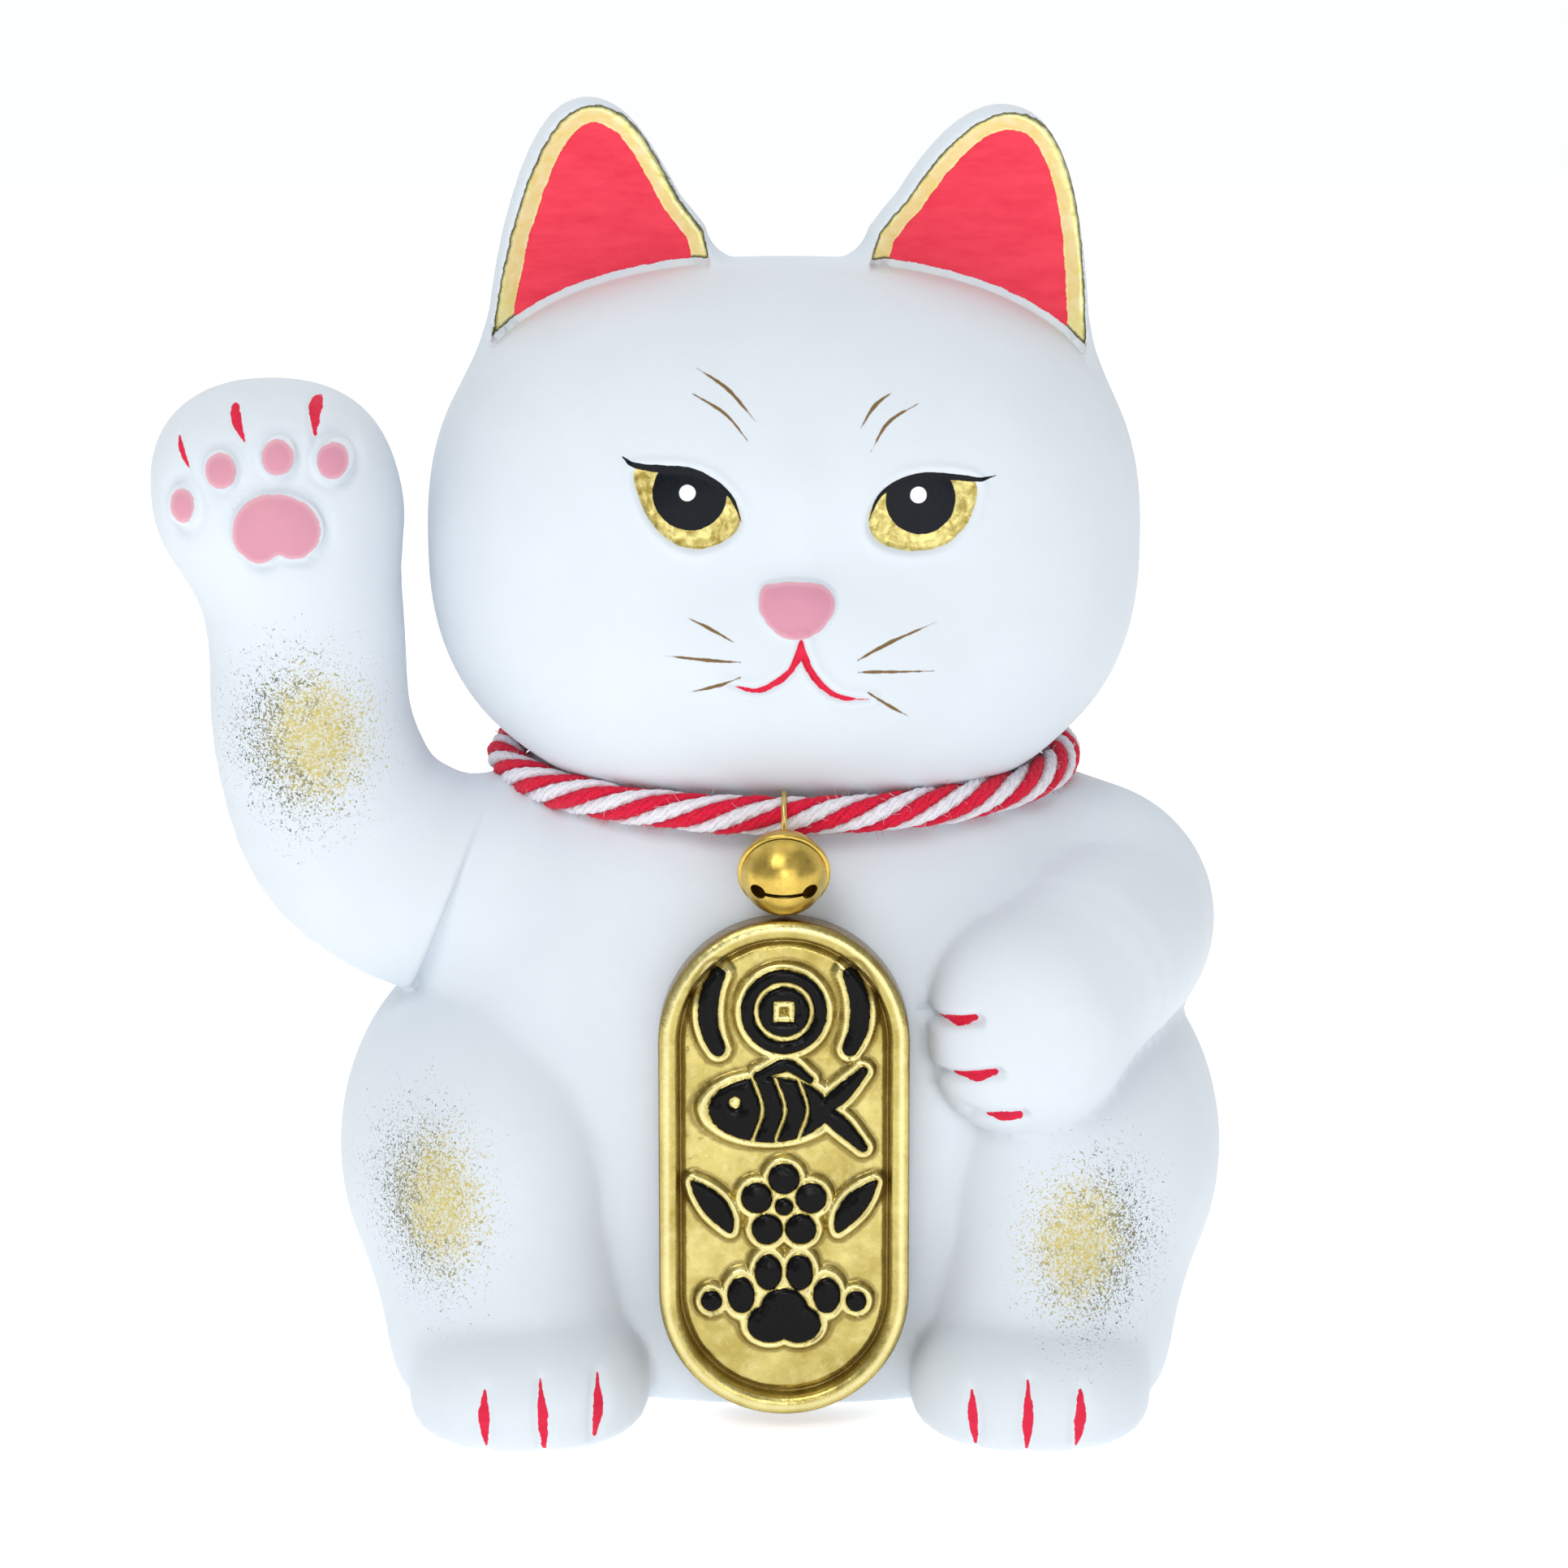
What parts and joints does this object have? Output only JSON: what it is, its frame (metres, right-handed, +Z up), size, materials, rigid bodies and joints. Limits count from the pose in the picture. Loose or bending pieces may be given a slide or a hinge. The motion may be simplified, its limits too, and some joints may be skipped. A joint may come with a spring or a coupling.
{
  "type": "beckoning cat figurine",
  "caption": "Seated ceramic cat with one raised paw, an oval plaque on its belly, a twisted neck cord and a small round bell hanging from the cord.",
  "frame": {"origin": "on the ground, in the base's flat underside, under the middle of the head", "axes": "+Z up, the cat faces -Y, and its raised arm is on the -X side"},
  "size_m": [0.2383, 0.1727, 0.2814],
  "materials": {
    "ceramic": "matte white paint over fired clay, with red, pink, black and gold painted details and sprayed gold speckle",
    "plaque": "satin gold paint over a moulded relief, with black raised ornaments",
    "cord": "soft cotton yarn, red and white strands twisted together",
    "wire": "bright drawn wire",
    "bell": "satin gold-coloured plating on pressed shells",
    "pellet": "plain steel ball"
  },
  "bodies": {
    "figurine": {"body_casting": "ceramic", "raised_arm": "ceramic", "koban_plaque": "plaque", "collar_cord": "cord", "collar_knot": "cord"},
    "ring": {"bell_ring": "wire"},
    "bell": {"bell_eye": "wire", "bell_upper_shell": "bell", "bell_lower_shell": "bell"},
    "pellet": {"bell_pellet": "pellet"}
  },
  "joints": [
    {"name": "ring_swing", "type": "hinge", "parent": "figurine", "child": "ring", "pos_m": [0, -0.0533, 0.1309], "axis": [-1, 0, 0], "range_deg": [0, 60]},
    {"name": "bell_rock", "type": "hinge", "parent": "ring", "child": "bell", "pos_m": [0, -0.05562, 0.12614], "axis": [0, 0.8988, -0.4384], "range_deg": [-20, 20]},
    {"name": "pellet_rattle", "type": "slide", "parent": "bell", "child": "pellet", "axis": [0, 0.9397, 0.342], "range_m": [0, 0.01]}
  ]
}
